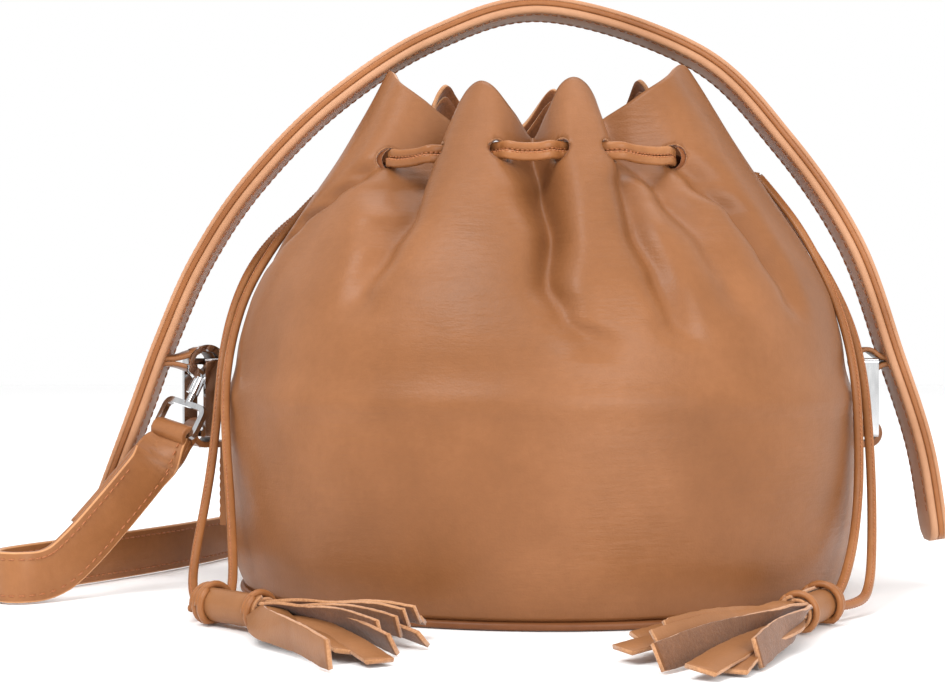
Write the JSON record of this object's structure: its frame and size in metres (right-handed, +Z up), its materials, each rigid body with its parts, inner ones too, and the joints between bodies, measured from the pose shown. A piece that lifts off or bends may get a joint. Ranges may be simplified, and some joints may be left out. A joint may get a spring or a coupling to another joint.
{
  "type": "bucket bag",
  "caption": "Round bucket bag with a gathered drawstring neck, stiff lower wall, arched handle on side rings, tassels and a clip-on shoulder strap.",
  "frame": {"origin": "centre of the base's underside", "axes": "+Z up, +X towards the bag's right as seen from the front, front faces -Y"},
  "size_m": [0.3345, 0.3539, 0.2116],
  "materials": {
    "body_leather": "smooth satin leather with fine grain",
    "binding_leather": "thin satin edge binding",
    "handle_leather": "satin leather",
    "handle_edge": "painted raw edge",
    "strap_leather": "satin leather with stitching",
    "lace_leather": "rolled leather lace",
    "tassel_leather": "smooth face, suede back, raw edges",
    "lining": "matt suede cloth",
    "board": "matt fibre board",
    "metal": "polished"
  },
  "bodies": {
    "bag": {"body_leather": "body_leather", "wall_stiffener": "board", "lining": "lining", "base_panel": "body_leather", "base_stiffener": "board", "base_binding": "binding_leather", "side_tab_left": "strap_leather", "side_tab_right": "strap_leather", "handle_loop_left": "strap_leather", "handle_loop_right": "strap_leather", "side_ring_left": "metal", "side_ring_right": "metal", "drawstring_loop_left": "lace_leather", "drawstring_loop_right": "lace_leather", "lace_tail_left_front": "lace_leather", "lace_tail_left_back": "lace_leather", "lace_tail_right_front": "lace_leather", "lace_tail_right_back": "lace_leather", "tassel_head_left": "tassel_leather", "tassel_head_right": "tassel_leather", "tassel_skirt_left": "tassel_leather", "tassel_skirt_right": "tassel_leather", "shoulder_strap": "strap_leather", "hook_swivel_left": "metal", "hook_swivel_right": "metal"},
    "handle": {"handle_outer": "handle_leather", "handle_core": "handle_edge", "handle_inner": "handle_leather"},
    "hook_left": {"hook_body_left": "metal", "gate_pin_left": "metal"},
    "gate_left": {"hook_gate_left": "metal"},
    "hook_right": {"hook_body_right": "metal", "gate_pin_right": "metal"},
    "gate_right": {"hook_gate_right": "metal"}
  },
  "joints": [
    {"name": "handle_swing", "type": "hinge", "parent": "bag", "child": "handle", "pos_m": [0, 0, 0.078], "axis": [1, 0, 0], "range_deg": [-30, 80]},
    {"name": "hook_turn_left", "type": "hinge", "parent": "bag", "child": "hook_left", "pos_m": [-0.11908, -0.00941, 0.08001], "axis": [-0.4008, -0.2131, -0.891], "range_deg": [-4, 4]},
    {"name": "gate_open_left", "type": "hinge", "parent": "hook_left", "child": "gate_left", "pos_m": [-0.12377, -0.01191, 0.07797], "axis": [-0.4695, 0.8829, 0], "range_deg": [0, 20], "stiffness_Nm_per_rad": 0.01, "springref_deg": -20.05},
    {"name": "hook_turn_right", "type": "hinge", "parent": "bag", "child": "hook_right", "pos_m": [0.1181, 0.01208, 0.0676], "axis": [-0.1208, 0.8556, -0.5033], "range_deg": [-4, 4]},
    {"name": "gate_open_right", "type": "hinge", "parent": "hook_right", "child": "gate_right", "pos_m": [0.12137, 0.01624, 0.06546], "axis": [0.0704, -0.4984, -0.8641], "range_deg": [0, 12], "stiffness_Nm_per_rad": 0.01, "springref_deg": -20.05}
  ]
}
